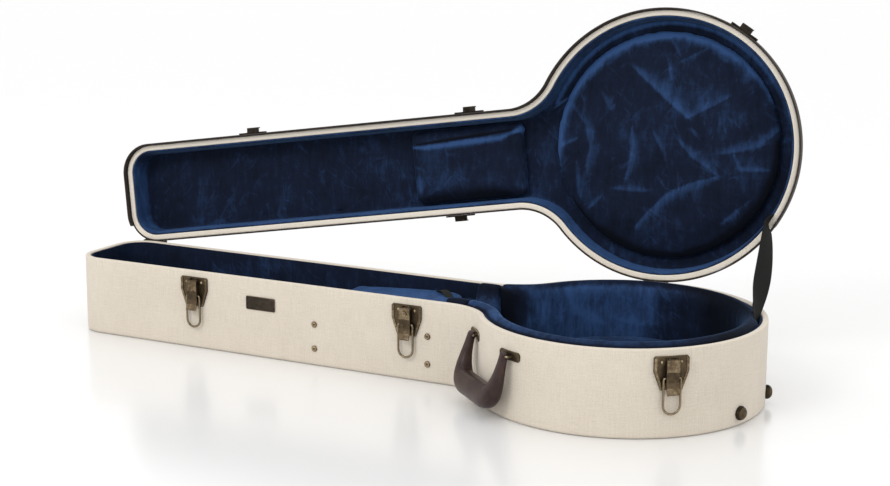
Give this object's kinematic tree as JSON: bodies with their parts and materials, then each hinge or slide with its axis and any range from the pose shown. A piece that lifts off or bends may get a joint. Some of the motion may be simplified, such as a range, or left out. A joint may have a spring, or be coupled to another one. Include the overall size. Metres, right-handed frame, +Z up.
{
  "type": "banjo case",
  "caption": "Hard-shell banjo case: round body with a tapered neck, arched hinged lid, draw latches, leather handle, padded lining and accessory compartment.",
  "frame": {"origin": "on the floor under the centre of the round body", "axes": "+X along the case from the neck end to the tail, -Y out of the front wall that carries the handle, +Z up, case lying on its bottom panel with the lid open"},
  "size_m": [1.0889, 0.5002, 0.5066],
  "materials": {
    "linen": "pale woven linen tweed over a wooden shell",
    "velvet": "dark blue crushed plush",
    "binding": "dark brown satin edging",
    "brass": "antiqued dark brass, satin",
    "bronze": "dark bronze, satin, bare of any lettering",
    "leather": "dark brown leather, semi-matt",
    "webbing": "black woven webbing",
    "tab": "olive brown grosgrain ribbon"
  },
  "bodies": {
    "base": {"bottom_panel": "linen", "base_wall": "linen", "base_lining": "velvet", "body_side_pad": "velvet", "body_floor_pad": "velvet", "neck_cradle": "velvet", "compartment_wall_neck": "velvet", "compartment_wall_body": "velvet", "rivet_neck_low": "brass", "rivet_neck_high": "brass", "rivet_body_low": "brass", "rivet_body_high": "brass", "name_plate": "bronze", "tail_foot_front": "brass", "tail_foot_back": "brass", "hinge_base_leaf_neck": "brass", "hinge_pin_neck": "brass", "hinge_base_leaf_body": "brass", "hinge_pin_body": "brass", "latch_plate_neck": "brass", "lever_pin_neck": "brass", "latch_plate_middle": "brass", "lever_pin_middle": "brass", "latch_plate_body": "brass", "lever_pin_body": "brass", "latch_plate_back": "brass", "lever_pin_back": "brass", "handle_bracket_neck": "brass", "handle_bracket_body": "brass", "handle_ring_neck": "brass", "handle_ring_body": "brass", "stay_strap": "webbing"},
    "lid": {"lid_shell": "linen", "lid_lining": "velvet", "lid_body_pad": "velvet", "lid_neck_pad": "velvet", "lid_lip": "binding", "lid_binding": "binding", "hinge_lid_leaf_neck": "brass", "hinge_lid_leaf_body": "brass", "strike_neck": "brass", "strike_middle": "brass", "strike_body": "brass", "strike_back": "brass"},
    "lever_neck": {"latch_lever_neck": "brass"},
    "lever_middle": {"latch_lever_middle": "brass"},
    "lever_body": {"latch_lever_body": "brass"},
    "lever_back": {"latch_lever_back": "brass"},
    "bail_neck": {"latch_bail_neck": "brass"},
    "bail_middle": {"latch_bail_middle": "brass"},
    "bail_body": {"latch_bail_body": "brass"},
    "bail_back": {"latch_bail_back": "brass"},
    "key": {"key_cylinder": "brass"},
    "handle": {"handle_grip": "leather"},
    "compartment_cover": {"compartment_lid": "velvet", "pull_tab": "tab"}
  },
  "joints": [
    {"name": "lid_hinge", "type": "hinge", "parent": "base", "child": "lid", "pos_m": [-0.0286, 0.19542, 0.114], "axis": [-0.9895, -0.1448, 0], "range_deg": [-97.2, 0], "deforming": ["stay_strap"]},
    {"name": "lever_neck_swing", "type": "hinge", "parent": "base", "child": "lever_neck", "pos_m": [-0.64668, -0.07872, 0.1032], "axis": [1, 0.0048, 0], "range_deg": [-105, 0]},
    {"name": "lever_middle_swing", "type": "hinge", "parent": "base", "child": "lever_middle", "pos_m": [-0.29, -0.077, 0.1032], "axis": [1, 0.0048, 0], "range_deg": [-105, 0]},
    {"name": "lever_body_swing", "type": "hinge", "parent": "base", "child": "lever_body", "pos_m": [0.12983, -0.15094, 0.1032], "axis": [0.7581, 0.6521, 0], "range_deg": [-105, 0]},
    {"name": "lever_back_swing", "type": "hinge", "parent": "base", "child": "lever_back", "pos_m": [-0.318, 0.07713, 0.1032], "axis": [-1, 0.0048, 0], "range_deg": [-105, 0]},
    {"name": "bail_neck_swing", "type": "hinge", "parent": "lever_neck", "child": "bail_neck", "pos_m": [-0.64667, -0.07932, 0.0805], "axis": [-1, -0.0048, 0], "range_deg": [0, 175]},
    {"name": "bail_middle_swing", "type": "hinge", "parent": "lever_middle", "child": "bail_middle", "pos_m": [-0.29, -0.0776, 0.0805], "axis": [-1, -0.0048, 0], "range_deg": [0, 175]},
    {"name": "bail_body_swing", "type": "hinge", "parent": "lever_body", "child": "bail_body", "pos_m": [0.13022, -0.1514, 0.0805], "axis": [-0.7581, -0.6521, 0], "range_deg": [0, 175]},
    {"name": "bail_back_swing", "type": "hinge", "parent": "lever_back", "child": "bail_back", "pos_m": [-0.318, 0.07773, 0.0805], "axis": [1, -0.0048, 0], "range_deg": [0, 175]},
    {"name": "key_turn", "type": "hinge", "parent": "lever_middle", "child": "key", "pos_m": [-0.28998, -0.0814, 0.0963], "axis": [0.0048, -1, 0], "range_deg": [0, 90]},
    {"name": "handle_swing", "type": "hinge", "parent": "base", "child": "handle", "pos_m": [-0.13019, -0.14488, 0.088], "axis": [-0.7464, 0.6654, 0], "range_deg": [0, 130]},
    {"name": "compartment_lift", "type": "hinge", "parent": "base", "child": "compartment_cover", "pos_m": [-0.44403, 0, 0.083], "axis": [0, -1, 0], "range_deg": [0, 80]}
  ]
}
